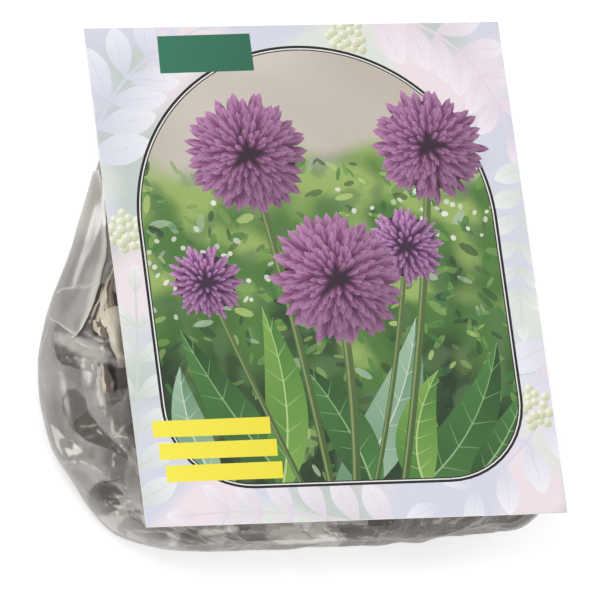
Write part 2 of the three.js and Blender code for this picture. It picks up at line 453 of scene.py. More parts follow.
def edit_alone(piece, kind="VERT"):
    """Opens one piece in edit mode, to select its vertices or faces (FACE), with none of them selected."""
    take_alone(piece)
    bpy.ops.object.mode_set(mode="EDIT")
    bpy.context.tool_settings.mesh_select_mode = tuple(kind == k for k in ("VERT", "EDGE", "FACE"))
    bpy.ops.mesh.select_all(action="DESELECT")


edit_alone(card)
bpy.ops.mesh.select_non_manifold(extend=False)
bpy.ops.mesh.extrude_region_move(TRANSFORM_OT_translate={"value": (0, 0, -CARD_THICKNESS * MM)})
bpy.ops.mesh.edge_face_add()
bpy.ops.mesh.select_all(action="SELECT")
bpy.ops.mesh.normals_make_consistent(inside=False)
bpy.ops.object.mode_set(mode="OBJECT")
card.data.transform(card_place)


def set_inputs(tree, node, inputs):
    """Gives a shader node's inputs their values, or links them from other sockets."""
    for name, value in inputs.items():
        if isinstance(value, bpy.types.NodeSocket):
            tree.links.new(value, node.inputs[name])
        else:
            node.inputs[name].default_value = value


def add_node(tree, kind, settings, inputs):
    """Adds a shader node with its settings and its inputs."""
    node = tree.nodes.new(kind)
    for name, value in settings.items():
        setattr(node, name, value)
    set_inputs(tree, node, inputs)
    return node


def solid(colour):
    """An sRGB hex colour as a socket takes it."""
    return *linear(colour), 1


def new_material(name):
    """A bare material, its node tree and its Principled shader."""
    material = bpy.data.materials.new(name)
    material.use_nodes = True
    return material, material.node_tree, material.node_tree.nodes["Principled BSDF"]


# Offset print on coated carton under a gloss varnish: even, lightly grained ink with a soft shine.
material, tree, shader = new_material("varnished_print")
place = add_node(tree, "ShaderNodeTexCoord", {}, {})
inked = add_node(tree, "ShaderNodeAttribute", {"attribute_name": "ink"}, {})
grain = add_node(tree, "ShaderNodeTexNoise", {},
                 {"Vector": place.outputs["Object"], "Scale": 2600.0, "Detail": 2.0})
level = add_node(tree, "ShaderNodeMapRange", {},
                 {"Value": grain.outputs["Fac"], "From Min": 0.25, "From Max": 0.75,
                  "To Min": 0.85, "To Max": 1.0})
printed = add_node(tree, "ShaderNodeVectorMath", {"operation": "SCALE"},
                   {0: inked.outputs["Color"], "Scale": level.outputs["Result"]})
set_inputs(tree, shader, {"Base Color": printed.outputs["Vector"], "Roughness": 0.38, "Coat Weight": 0.35,
                          "Coat Roughness": 0.22})
card.data.materials.append(material)

# The carton's cut edges and bare back: white pulp, matt, with short fibres.
material, tree, shader = new_material("bare_carton")
place = add_node(tree, "ShaderNodeTexCoord", {}, {})
fibres = add_node(tree, "ShaderNodeTexNoise", {},
                  {"Vector": place.outputs["Object"], "Scale": 900.0, "Detail": 6.0})
tones = add_node(tree, "ShaderNodeMix", {"data_type": "RGBA"},
                 {"Factor": fibres.outputs["Fac"], "A": solid("#d9d6cf"), "B": solid("#f1efea")})
relief = add_node(tree, "ShaderNodeBump", {},
                  {"Height": fibres.outputs["Fac"], "Strength": 0.2, "Distance": 0.05 * MM})
set_inputs(tree, shader, {"Base Color": tones.outputs["Result"], "Normal": relief.outputs["Normal"],
                          "Roughness": 0.85})
card.data.materials.append(material)

front = card_place.to_3x3() @ Vector((0, 0, 1))
for face in card.data.polygons:
    face.material_index = 0 if face.normal.dot(front) > 0.9 else 1
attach(card, "root")
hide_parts("printed_card")


# ---- Bulbs --------------------------------------------------------------------------------------------
# Five ornamental onion bulbs, 39 to 43 mm across: a fleshy body in dry brown skins that split and flake,
# with a plate of cut roots at one end and a papery neck at the other. They lie loose in the bag.
BULBS = {  # across, in millimetres, and which way the neck points
    "bulb_1": (39, (-0.1, 0.8, 0.45)),
    "bulb_2": (39, (-0.3, -0.35, 0.9)),
    "bulb_3": (39, (0.35, 0.9, -0.1)),
    "bulb_4": (43, (-0.5, 0.8, 0.15)),
    "bulb_5": (41.5, (0.1, 0.95, 0.3)),
}
# Half section of a bulb 1 across, from the root plate to the tip of the neck: radius and height.
BULB_SECTION = [(0, -0.415), (0.13, -0.425), (0.27, -0.395), (0.425, -0.25), (0.49, -0.02), (0.45, 0.17),
                (0.325, 0.33), (0.165, 0.43), (0.095, 0.51), (0.06, 0.565), (0, 0.56)]
SPIN_STEPS = 32
FLAKE_THICKNESS = 0.16
FLAKE_LIFTS = (0.35, 0.6)  # of the inner and the outer skin, where they lie flat
ROOT_COUNT = 38


def swell(points, size, seed, waves=9):
    """Soft random highs and lows, about -1 to 1, at points in space, with lumps about size millimetres."""
    draw = np.random.default_rng(seed)
    ways = draw.normal(size=(waves, 3))
    ways *= (math.pi / size / draw.uniform(0.6, 1.6, waves) / np.linalg.norm(ways, axis=1))[:, None]
    return np.cos(points @ ways.T + draw.uniform(0, 2 * math.pi, waves)).sum(1) / math.sqrt(waves)


def rows_of(items, field):
    """A field of three numbers of each item, one row for each."""
    values = np.empty(len(items) * 3, np.float32)
    items.foreach_get(field, values)
    return values.reshape(-1, 3).astype(float)


def corners_of(piece):
    """A piece's vertices, in millimetres."""
    return rows_of(piece.data.vertices, "co") / MM


def move_corners(piece, places):
    """Puts a piece's vertices where places says, in millimetres."""
    piece.data.vertices.foreach_set("co", (places * MM).ravel())
    piece.data.update()


def select_only(piece, kind, chosen):
    """Opens one piece in edit mode with only the chosen vertices (VERT) or faces (FACE) selected."""
    edit_alone(piece, kind)
    bpy.ops.object.mode_set(mode="OBJECT")
    items = piece.data.polygons if kind == "FACE" else piece.data.vertices
    items.foreach_set("select", chosen)
    bpy.ops.object.mode_set(mode="EDIT")


def apply_modifier(piece, kind, **settings):
    """Adds one modifier with its settings and applies it."""
    take_alone(piece)
    modifier = piece.modifiers.new(kind.lower(), kind)
    for name, value in settings.items():
        setattr(modifier, name, value)
    bpy.ops.object.modifier_apply(modifier=modifier.name)


def join_to(piece, others):
    """Makes other objects part of a piece."""
    take_alone(piece)
    for other in others:
        other.select_set(True)
    bpy.ops.object.join()


def bulb_body(diameter):
    """The skin of one bulb, standing on its root plate: a section spun round and rounded off."""
    mesh = bpy.data.meshes.new("bulb")
    section = [(radius * diameter * MM, 0, height * diameter * MM) for radius, height in BULB_SECTION]
    mesh.from_pydata(section, [(i, i + 1) for i in range(len(section) - 1)], [])
    body = bpy.data.objects.new("bulb", mesh)
    bpy.context.collection.objects.link(body)
    edit_alone(body)
    bpy.ops.mesh.select_all(action="SELECT")
    bpy.ops.mesh.spin(steps=SPIN_STEPS, angle=2 * math.pi, center=(0, 0, 0), axis=(0, 0, 1))
    bpy.ops.mesh.select_all(action="SELECT")
    bpy.ops.mesh.remove_doubles(threshold=0.01 * MM)
    bpy.ops.mesh.normals_make_consistent(inside=False)
    bpy.ops.object.mode_set(mode="OBJECT")
    apply_modifier(body, "SUBSURF", levels=2, render_levels=2)
    return body


def swollen(points, diameter, seed):
    """The body's points out of round: two cheeks, soft lumps and shallow ribs from root to neck."""
    turn = np.arctan2(points[:, 1], points[:, 0])
    belly = np.clip(1 - (points[:, 2] / (0.55 * diameter)) ** 2, 0, 1)
    ribs = np.cos(turn * 11 + seed + 1.5 * np.sin(turn * 3)) * 0.006 + np.cos(turn * 2 + seed) * 0.012
    lumps = swell(points, 11, seed) * 0.01 + swell(points, 4, seed + 1) * 0.004
    return points * (1 - 0.012 + (ribs + lumps) * belly)[:, None]


def torn_edge(points, seed):
    """Where a skin has flaked away: above 0 it's still there."""
    return swell(points, 12, seed) + 0.35 * swell(points, 2.5, seed + 5) - 0.1


def bulb_flakes(body, diameter, seed, lift):
    """What is left of an outer skin: ragged patches of the body, lifted and curled at their edges."""
    points = corners_of(body)
    middles = np.array([points[list(face.vertices)].mean(0) for face in body.data.polygons])
    select_only(body, "FACE", (torn_edge(middles, seed) > 0) & (np.abs(middles[:, 2]) < 0.4 * diameter))
    bpy.ops.mesh.duplicate()
    bpy.ops.mesh.separate(type="SELECTED")
    bpy.ops.object.mode_set(mode="OBJECT")
    flakes = next(piece for piece in bpy.context.selected_objects if piece is not body)
    places = corners_of(flakes)
    curl = np.exp(-np.clip(torn_edge(places, seed), 0, None) / 0.12)
    out = places / np.linalg.norm(places, axis=1)[:, None]
    lifted = lift * (0.5 + curl * (1 + 0.6 * swell(places, 5, seed + 9)))
    move_corners(flakes, places + out * lifted[:, None])
    apply_modifier(flakes, "SOLIDIFY", thickness=FLAKE_THICKNESS * MM, offset=1.0)
    return flakes


def bulb_roots(diameter, seed):
    """The mat of cut roots: short, bent, tapering stubs round the root plate."""
    draw = np.random.default_rng(seed)
    roots = []
    for number in range(ROOT_COUNT):
        bpy.ops.mesh.primitive_cone_add(vertices=6, radius1=0.5 * MM, radius2=0.18 * MM, depth=1 * MM)
        root = bpy.context.object
        edit_alone(root)
        bpy.ops.mesh.select_all(action="SELECT")
        bpy.ops.mesh.subdivide(number_cuts=1)
        bpy.ops.object.mode_set(mode="OBJECT")
        points = corners_of(root)
        heading, ring = number * GOLDEN_ANGLE, math.sqrt(draw.uniform(0.02, 1)) * 0.2 * diameter
        length, lean = draw.uniform(1.6, 3.4), draw.uniform(0.3, 1.0)
        rise = points[:, 2] + 0.5
        way = np.array((math.cos(heading), math.sin(heading), 0))
        curve = np.outer(lean * rise ** 2 * length, way) - np.outer(rise * length * 0.6, (0, 0, 1))
        base = way * ring + (0, 0, BULB_SECTION[0][1] * diameter + 0.4)
        move_corners(root, base + points * (1, 1, 0) + curve)
        roots.append(root)
    return roots


def keep(piece, name, values):
    """Stores a number or a place for each of a piece's vertices, which its material can read."""
    values = np.asarray(values, np.float32)
    kind, field = ("FLOAT", "value") if values.ndim == 1 else ("FLOAT_VECTOR", "vector")
    piece.data.attributes.new(name, kind, "POINT").data.foreach_set(field, values.ravel())


def set_tones(ramp, tones):
    """Gives a colour ramp its stops: place and hex colour."""
    stops = ramp.color_ramp.elements
    while len(stops) < len(tones):
        stops.new(0.5)
    for stop, (place, tone) in zip(stops, tones):
        stop.position = place
        stop.color = solid(tone)


# Dry tunic skin: thin dead leaf bases, dull and fibrous. Dark brown, tan where a skin is fresh, with fine
# veins that run from root to neck about a millimetre apart.
material, tree, shader = new_material("dry_tunic")
skin = add_node(tree, "ShaderNodeAttribute", {"attribute_name": "skin"}, {})
turned = add_node(tree, "ShaderNodeVectorMath", {"operation": "MULTIPLY"},
                  {0: skin.outputs["Vector"], 1: (1.0, 1.0, 0.12)})
veins = add_node(tree, "ShaderNodeTexNoise", {},
                 {"Vector": turned.outputs["Vector"], "Scale": 0.9, "Detail": 5.0, "Roughness": 0.65})
patches = add_node(tree, "ShaderNodeTexNoise", {},
                   {"Vector": skin.outputs["Vector"], "Scale": 0.11, "Detail": 4.0, "Distortion": 0.8})
brown = add_node(tree, "ShaderNodeValToRGB", {}, {"Fac": patches.outputs["Fac"]})
set_tones(brown, [(0.3, "#2b231d"), (0.48, "#4a3d33"), (0.6, "#6d5a48"), (0.74, "#a58c6c")])
streaks = add_node(tree, "ShaderNodeMapRange", {},
                   {"Value": veins.outputs["Fac"], "From Min": 0.3, "From Max": 0.7,
                    "To Min": 0.55, "To Max": 1.35})
toned = add_node(tree, "ShaderNodeVectorMath", {"operation": "SCALE"},
                 {0: brown.outputs["Color"], "Scale": streaks.outputs["Result"]})
relief = add_node(tree, "ShaderNodeBump", {},
                  {"Height": veins.outputs["Fac"], "Strength": 0.7, "Distance": 0.6 * MM})
set_inputs(tree, shader, {"Base Color": toned.outputs["Vector"], "Normal": relief.outputs["Normal"],
                          "Roughness": 0.68, "IOR": 1.45})
tunic = material

bulbs = []
for number, (name, (diameter, neck)) in enumerate(BULBS.items()):
    seed = 100 + 10 * number
    bulb = bulb_body(diameter)
    move_corners(bulb, swollen(corners_of(bulb), diameter, seed))
    skins = [bulb_flakes(bulb, diameter, seed + 3 + layer, lift) for layer, lift in enumerate(FLAKE_LIFTS)]
    join_to(bulb, skins + bulb_roots(diameter, seed))
    keep(bulb, "skin", corners_of(bulb))
    turn = Vector((0, 0, 1)).rotation_difference(Vector(neck).normalized()).to_matrix().to_4x4()
    bulb.data.transform(turn)
    low, high = (np.array(corner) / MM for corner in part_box(name))
    places = corners_of(bulb)
    move_corners(bulb, places + (low + high) / 2 - (places.min(0) + places.max(0)) / 2)
    bulb.name = bulb.data.name = name + "_in_its_skins"
    bulb.data.materials.clear()
    bulb.data.materials.append(tunic)
    take_alone(bulb)
    bpy.ops.object.shade_smooth_by_angle(angle=math.radians(50))
    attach(bulb, "root")
    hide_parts(name)
    bulbs.append(bulb)


# ---- Film bag -----------------------------------------------------------------------------------------
# A tube of clear polypropylene film, 0.05 mm thick, welded flat across its head and foot, with six vents
# punched in its back. It is glued to the card, and its slack film has sagged and crumpled round the bulbs.
BAG_START = -1.5  # its foot. All of these are on the card: x from its left edge, y from its lower edge
BAG_NOSE = 17  # how far its foot and its sides take to round off
BAG_SIDE = 17
BAG_LIFT = 93  # where its back leaves the ground
SEAL_START, SEAL_END, SEAL_THICKNESS = 174, 184, 0.5
GLUE_CLEARANCE = 1.0
LEFT_OUTLINE = [(-1.5, 24), (1, 7), (8, -7), (20, -17), (38, -23.5), (56, -25.5), (72, -24.5), (88, -19),
                (104, -12), (118, -6.5), (131, -1.5), (152, 6), (184, 14)]  # y and x
RIGHT_OUTLINE = [(-1.5, 145), (1, 152), (8, 159), (20, 163.5), (38, 166), (60, 166.5), (76, 165.5),
                 (100, 162), (131, 155), (152, 150), (184, 146)]
AROUND, ALONG = 200, 92  # film cells round the bag, and from its foot to its head
NOSE_CELLS = 15
SIDE_POINTS = 24
card_origin = np.array((card_low[0], card_low[1], 0))
card_underside = card_corner.z


def bag_top(y):
    """Height of the upper film at y, under the card."""
    return card_underside - y * math.tan(CARD_SLOPE) - GLUE_CLEARANCE


def bag_back(y):
    """Height of the back of the bag: on the ground under the bulbs, then up to the head."""
    lift = min(max((y - BAG_LIFT) / (SEAL_START - BAG_LIFT), 0), 1)
    return min(lift * bag_top(SEAL_START), bag_top(y) - SEAL_THICKNESS)


def bag_ring(y, share):
    """One section of the bag, flat above and below with rounded sides, cut in equal steps from its left."""
    left = np.interp(y, *zip(*LEFT_OUTLINE))
    right = np.interp(y, *zip(*RIGHT_OUTLINE))
    middle, half = (bag_top(y) + bag_back(y)) / 2, (bag_top(y) - bag_back(y)) / 2 * share
    bend = np.linspace(0, math.pi / 2, SIDE_POINTS)
    rise = half * np.sin(bend)
    left_side = left + BAG_SIDE * (1 - np.cos(bend))
    right_side = right - BAG_SIDE * (1 - np.cos(bend[::-1]))
    across = np.concatenate([left_side, right_side])
    upper = np.stack([across, np.full(2 * SIDE_POINTS, y), np.concatenate([rise, rise[::-1]])], 1)
    length = np.concatenate([[0], np.cumsum(np.linalg.norm(np.diff(upper, axis=0), axis=1))])
    even = np.linspace(0, length[-1], AROUND // 2 + 1)
    upper = np.stack([np.interp(even, length, upper[:, i]) for i in range(3)], 1)
    lower = (upper * (1, 1, -1))[-2:0:-1]
    return np.concatenate([upper, lower]) + (0, 0, middle)


nose_bend = np.linspace(0, math.pi / 2, NOSE_CELLS + 1)
stations = [(BAG_START + BAG_NOSE * (1 - math.cos(a)), math.sin(a)) for a in nose_bend]
stations += [(y, 1) for y in np.linspace(BAG_START + BAG_NOSE, SEAL_END, ALONG - NOSE_CELLS)[1:-1]]
stations += [(SEAL_END, 0)]
rings = np.array([bag_ring(y, share) for y, share in stations]) + card_origin


def new_grid(columns, rows, places):
    """A grid of cells, with its corners at the places given in millimetres, row by row."""
    bpy.ops.object.select_all(action="DESELECT")
    bpy.ops.mesh.primitive_grid_add(x_subdivisions=columns, y_subdivisions=rows, size=1)
    grid = bpy.context.object
    move_corners(grid, places.reshape(-1, 3))
    return grid


def keep_film_place(piece, turn, along):
    """Stores where each vertex is on the film: its turn round the bag, and its share of the bag's length."""
    keep(piece, "film_place", np.stack([np.cos(turn), np.sin(turn), along], -1))


bag = new_grid(AROUND, len(stations) - 1, np.concatenate([rings, rings[:, :1]], 1))
bag.name = bag.data.name = "film_bag_welded"
turns, shares = np.meshgrid(np.arange(AROUND + 1) / AROUND * 2 * math.pi, np.linspace(0, 1, len(stations)))
keep_film_place(bag, turns, shares)
column = np.arange(len(bag.data.vertices)) % (AROUND + 1)
select_only(bag, "VERT", (column == 0) | (column == AROUND))
bpy.ops.mesh.remove_doubles(threshold=0.02 * MM)
bpy.ops.mesh.select_all(action="SELECT")
bpy.ops.mesh.normals_make_consistent(inside=False)
bpy.ops.object.mode_set(mode="OBJECT")

FILM_ROUND = 440  # millimetres of film round the bag from its left edge, and from its foot to its head
FILM_LENGTH = 205


def film_places(piece):
    """Where each vertex is on the film: millimetres round from the bag's left edge, and up from its foot."""
    x, y, along = rows_of(piece.data.attributes["film_place"].data, "vector").T
    return np.stack([np.arctan2(y, x) / (2 * math.pi) * FILM_ROUND, along * FILM_LENGTH], 1)


EDGE_ABOVE, EDGE_BELOW = 18, 34  # how far the film still makes the outline from the bag's left and right
FOOT_ABOVE, FOOT_BELOW = 12, 32  # and from its foot, on the upper film and on the lower


def outline_share(spots):
    """1 where the film makes the bag's outline from above, at its edges and its foot, to 0 far away."""
    under = spots[:, 0] < 0
    from_edge = np.minimum(np.abs(spots[:, 0]), FILM_ROUND / 2 - np.abs(spots[:, 0]))
    beside = step(np.where(under, EDGE_BELOW, EDGE_ABOVE) - from_edge, 0, 14)
    return np.maximum(beside, step(np.where(under, FOOT_BELOW, FOOT_ABOVE) - spots[:, 1], 0, 12))


# The slack film settles: it is cut 7% larger than its place, glued where the strips hold it, and it falls
# on the bulbs and the ground under a light weight. The simulation runs at ten times the size.
SIM_SCALE = 10
SIM_FRAMES = 30
SLACK = 0.07
LONGEST_MOVE = 6.0
STOP_THICKNESS, STOP_MARGIN = 20, 50
FILM_CLOTH = {"quality": 6, "mass": 0.15, "tension_stiffness": 20, "compression_stiffness": 20,
              "shear_stiffness": 8, "bending_stiffness": 2.0, "vertex_group_mass": "held",
              "pin_stiffness": 1.0, "shrink_min": -SLACK, "shrink_max": -SLACK}


def scaled_copy(source, name):
    """A copy of an object at the size of the simulation."""
    mesh = source.data.copy()
    mesh.transform(Matrix.Scale(SIM_SCALE, 4))
    copy = bpy.data.objects.new(name, mesh)
    bpy.context.collection.objects.link(copy)
    return copy


def collider(source, name):
    """A copy of an object that the film can't pass."""
    copy = scaled_copy(source, name)
    copy.modifiers.new("collision", "COLLISION")
    copy.collision.thickness_outer = 0.003
    copy.collision.cloth_friction = 20
    return copy


def stopper(place):
    """A slab that the film can't pass, put at place and wider than the card all round."""
    bpy.ops.mesh.primitive_cube_add(size=1)
    slab = bpy.context.object
    size = (CARD_WIDTH + 2 * STOP_MARGIN, CARD_LENGTH + 2 * STOP_MARGIN, STOP_THICKNESS)
    centre = Vector((CARD_WIDTH / 2, CARD_LENGTH / 2, STOP_THICKNESS / 2)) * MM
    slab.data.transform(Matrix.Translation(centre) @ Matrix.Diagonal((*(s * MM for s in size), 1)))
    slab.data.transform(place)
    stop = collider(slab, "stop")
    bpy.data.objects.remove(slab)
    return stop


def settle(piece, holds):
    """Runs the film as cloth, held by holds (0 to 1 for each vertex), and gives its new places."""
    cloth = scaled_copy(piece, "settling")
    group = cloth.vertex_groups.new(name="held")
    for index, weight in enumerate(holds):
        if weight > 0:
            group.add([index], float(weight), "REPLACE")
    things = [collider(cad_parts[name], "under_" + name) for name in BULBS]
    ground_place = Matrix.Translation(Vector((*card_corner[:2], -STOP_THICKNESS)) * MM)
    things += [stopper(ground_place), stopper(card_place)]
    modifier = cloth.modifiers.new("cloth", "CLOTH")
    for name, value in FILM_CLOTH.items():
        setattr(modifier.settings, name, value)
    modifier.settings.effector_weights.gravity = 0.5
    modifier.collision_settings.distance_min = 0.012
    modifier.collision_settings.collision_quality = 3
    modifier.collision_settings.use_self_collision = False
    modifier.point_cache.frame_start, modifier.point_cache.frame_end = 1, SIM_FRAMES
    scene = bpy.context.scene
    scene.frame_start, scene.frame_end = 1, SIM_FRAMES
    for moment in range(1, SIM_FRAMES + 1):
        scene.frame_set(moment)
    settled = cloth.evaluated_get(bpy.context.evaluated_depsgraph_get()).to_mesh()
    places = rows_of(settled.vertices, "co") / MM / SIM_SCALE
    for thing in [cloth, *things]:
        bpy.data.objects.remove(thing)
    scene.frame_set(1)
    return places


GLUE_LOWS, GLUE_WIDTH = (30, 152), 12  # the lower edges of the two strips
GLUE_MIDDLE, GLUE_REACH = 80, 58  # across the card
places = corners_of(bag)
on_card = places - card_origin
spots = film_places(bag)
glued = np.zeros(len(places), bool)
for low in GLUE_LOWS:
    level = np.abs(on_card[:, 1] - low - GLUE_WIDTH / 2) < GLUE_WIDTH / 2 + 1
    glued |= (spots[:, 0] > 9) & level & (np.abs(on_card[:, 0] - GLUE_MIDDLE) < GLUE_REACH)
outline = outline_share(spots)
sealed = (on_card[:, 1] > SEAL_START - 3) | (spots[:, 1] < 0.1)
moved = settle(bag, np.where(glued | sealed, 1.0, outline * 0.1)) - places
reach = np.linalg.norm(moved, axis=1)
kept = LONGEST_MOVE * np.tanh(reach / LONGEST_MOVE) / np.maximum(reach, 1e-6)
move_corners(bag, places + moved * (kept * (1 - 0.92 * outline))[:, None])
select_only(bag, "VERT", outline > 0.3)
bpy.ops.mesh.vertices_smooth(factor=0.5, repeat=6)
bpy.ops.object.mode_set(mode="OBJECT")

# Where the film shows past the card its cells are cut finer, and once more at its left, to take its creases.
FINE_MARGIN = 14
LEFT_UNDER, LEFT_OVER, LEFT_TOP = -26, 46, 165  # the film that shows at the left: round it, and up it


def past_the_card(middles, spots):
    """Faces that show past the card's edges."""
    beside = np.abs(middles[:, 0] - CARD_WIDTH / 2) > CARD_WIDTH / 2 - FINE_MARGIN
    return beside | (middles[:, 1] < FINE_MARGIN) | (middles[:, 1] > SEAL_END - 2)


def near_left(middles, spots):
    """Faces of the left side, which shows best."""
    round_bag, up_bag = spots.T
    beside = (round_bag > LEFT_UNDER + 2) & (round_bag < LEFT_OVER)
    return beside & (up_bag > 4) & (up_bag < LEFT_TOP)


for test in (past_the_card, near_left):
    first = np.array([face.vertices[0] for face in bag.data.polygons])
    middles = np.array([face.center for face in bag.data.polygons]) / MM - card_origin
    select_only(bag, "FACE", test(middles, film_places(bag)[first]))
    bpy.ops.mesh.subdivide(number_cuts=1, smoothness=1.0)
    bpy.ops.object.mode_set(mode="OBJECT")


def crumple(round_bag, up_bag, spacing, depth, seed):
    """Crumpled film, flat between random high and low spots: its heights, its white folds with painted
    highlights, and facet tones of painted light and shade.
    """
    draw = np.random.default_rng(seed)
    columns, rows = round(FILM_ROUND / spacing), round((FILM_LENGTH + 40) / spacing)
    spots = np.stack(np.meshgrid(np.arange(columns), np.arange(rows)), 2).reshape(-1, 2)
    spots = (spots + draw.uniform(0, 1, spots.shape)) * (FILM_ROUND / columns, spacing) - (0, 20)
    heights = draw.normal(0, depth, len(spots))
    lap = 3 * spacing
    spots = np.concatenate([spots, spots + (FILM_ROUND, 0), spots - (FILM_ROUND, 0)])
    heights = np.tile(heights, 3)
    near = (spots[:, 0] > -lap) & (spots[:, 0] < FILM_ROUND + lap)
    spots, heights = spots[near], heights[near]
    found, _, facets, origins, _, _ = delaunay_2d_cdt([Vector(s) for s in spots], [], [], 0, 1e-4, True)
    raised = [(*spot, heights[origin[0]]) for spot, origin in zip(found, origins)]
    tree = BVHTree.FromPolygons(raised, facets)
    down = Vector((0, 0, -1))
    hits = [tree.ray_cast(Vector((x, y, 99)), down) for x, y in zip(round_bag, up_bag)]
    ends = np.array(found)[np.array(facets)][[hit[2] for hit in hits]]
    spots = np.stack([round_bag, up_bag], 1)
    white_and_highlight = np.zeros(len(spots))
    for first, second in ((0, 1), (1, 2), (2, 0)):
        start, way = ends[:, first], ends[:, second] - ends[:, first]
        share = np.clip(((spots - start) * way).sum(1) / (way ** 2).sum(1), 0, 1)
        gap = np.linalg.norm(spots - start - share[:, None] * way, axis=1)
        middle = ends[:, first] + ends[:, second]
        chance = np.sin(middle @ (12.9898, 78.233)) * 43758.5453 % 1  # one for each fold, from both its sides
        white_and_highlight = np.maximum(white_and_highlight, np.clip(chance * 2 - 1.4, 0, 0.25) * np.exp(-(gap / 0.8) ** 2))
    tones = draw.uniform(-1, 1, len(facets))[[hit[2] for hit in hits]]
    return np.array([hit[0].z for hit in hits]), white_and_highlight, tones


def normals_of(piece):
    """The direction that each vertex faces."""
    return rows_of(piece.data.vertex_normals, "vector")


def distance_to_line(spots, line, closed=False):
    """How far each spot lies from a line of points, and how far along the line its nearest point is."""
    line = np.array(line + line[:1] if closed else line, float)
    best, where, run = np.full(len(spots), 1e9), np.zeros(len(spots)), 0.0
    for start, end in zip(line, line[1:]):
        way = end - start
        length = np.linalg.norm(way)
        share = np.clip((spots - start) @ way / length ** 2, 0, 1)
        gap = np.linalg.norm(spots - start - share[:, None] * way, axis=1)
        nearer = gap < best
        best = np.where(nearer, gap, best)
        where = np.where(nearer, run + share * length, where)
        run += length
    return best, where / run


def inside_of(spots, corners):
    """How far inside an outline each spot lies, less than 0 outside."""
    gap, _ = distance_to_line(spots, corners, closed=True)
    inside = np.zeros(len(spots), bool)
    for (x0, y0), (x1, y1) in zip(corners, corners[1:] + corners[:1]):
        if y0 != y1:
            crosses = (spots[:, 1] > min(y0, y1)) & (spots[:, 1] <= max(y0, y1))
            inside ^= crosses & (spots[:, 0] < x0 + (spots[:, 1] - y0) * (x1 - x0) / (y1 - y0))
    return np.where(inside, gap, -gap)


# The folds that show: each a line on the film (millimetres round the bag from its left edge, and up from its
#  foot) with its height, how far its slopes reach, and how much it is whitened and painted with a highlight.
FOLDS = [
    ([(9, 94.5), (17, 90.5), (21.5, 87), (26, 83.5), (31.5, 80.5), (36, 81), (43, 81)], 1.4, 4, 0.4),
    ([(7, 98.5), (20, 92.5), (25.5, 88), (34.5, 84), (42, 84.5)], -1.0, 4, 0.0),
    ([(32, 81), (31.5, 76.5), (30, 71), (30, 66.5), (31, 63.5)], 1.6, 4, 1.0),
    ([(34, 77.5), (35.5, 74), (34.5, 71)], 0.9, 2, 0.7),
    ([(31, 53), (32.5, 61.5)], 1.1, 3, 1.4),
    ([(31, 53), (39.5, 59.5)], 1.1, 3, 1.4),
    ([(31, 53), (37.5, 53)], 1.0, 3, 1.4),
    ([(31, 53), (32.5, 47.5), (34.5, 42)], 1.0, 3, 0.5),
    ([(31, 53), (28.5, 58), (24, 62.5)], 0.8, 3, 0.2),
    ([(17.5, 60), (21.5, 59), (25.5, 59)], 0.6, 2, 0.6),
    ([(-1, 66), (3, 63.5), (6.5, 61), (10, 56.5)], 1.3, 3.5, 0.7),
    ([(-4.5, 50.5), (4.5, 48.5), (12.5, 47), (17, 44), (19.5, 41.5), (21.5, 38.5)], 2.0, 4.5, 0.9),
    ([(-3.5, 47), (1.5, 45), (6, 42), (10, 40)], -1.5, 4, 0.0),
    ([(7, 30.5), (12, 27.5), (15.5, 24.5)], 1.1, 2, 1.0),
    ([(13, 31.5), (15.5, 30), (19, 29)], 0.8, 1.5, 0.6),
    ([(-2, 25.5), (6, 24.5), (14, 22.5)], 1.1, 3, 0.6),
    ([(3, 20), (8, 15.5), (12, 11)], 1.1, 3, 0.5),
    ([(27, 119.5), (29.5, 110.5), (29.5, 105), (27.5, 99)], 1.3, 3, 0.4),
    ([(29, 124), (33.5, 112), (34, 104.5), (33.5, 98.5)], 1.2, 3, 0.3),
    ([(33.5, 98.5), (36, 92.5), (37, 87), (38, 81.5)], 1.2, 3, 0.3),
    ([(32, 11), (44, 13.5), (58, 15)], 1.3, 3, 1.0),
    ([(13, 11.5), (22, 8), (30, 2)], 1.2, 4, 0.3),
    ([(44, 11), (41, 6), (36, 1)], 1.0, 4, 0.3),
    ([(64, 3), (76, 8), (88, 13.5), (101, 12.5)], 1.3, 5, 0.5),
    ([(98, 1.5), (106, 7), (112, 13)], -1.0, 4, 0.0),
    ([(150, 3), (164, 7), (176, 13)], 0.9, 4, 0.3),
]
